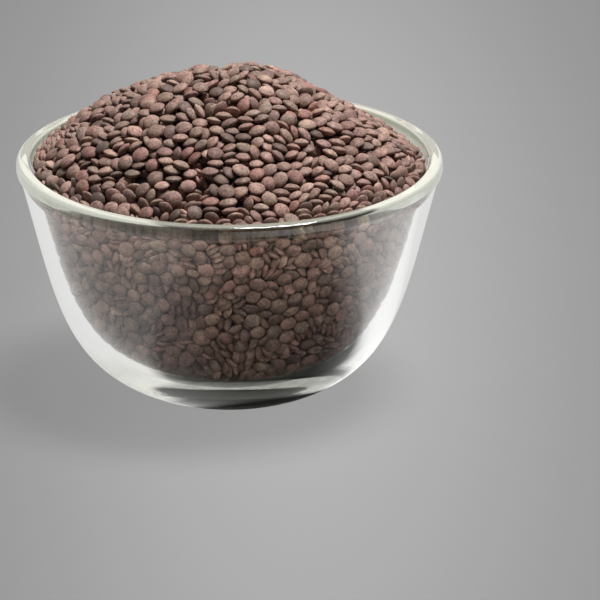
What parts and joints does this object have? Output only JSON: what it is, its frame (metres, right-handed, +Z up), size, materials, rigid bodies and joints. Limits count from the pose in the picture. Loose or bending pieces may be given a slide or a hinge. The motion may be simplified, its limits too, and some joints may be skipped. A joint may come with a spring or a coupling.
{
  "type": "bowl of dry lentils",
  "caption": "Clear glass bowl with a rolled lip, filled and heaped high with whole brown lentils.",
  "frame": {"origin": "middle of the bowl's base, on the surface that it stands on", "axes": "+Z up; the side that the picture shows faces -Y, with +X to its right"},
  "size_m": [0.13, 0.13, 0.1003],
  "materials": {
    "glass": "clear pressed glass with a faint green tint, polished",
    "lentils": "dry matte seed coats, dusky rose brown with tan, grey and umber ones, finely speckled"
  },
  "bodies": {
    "root": {"glass_bowl": "glass", "lentils": "lentils"}
  },
  "joints": []
}
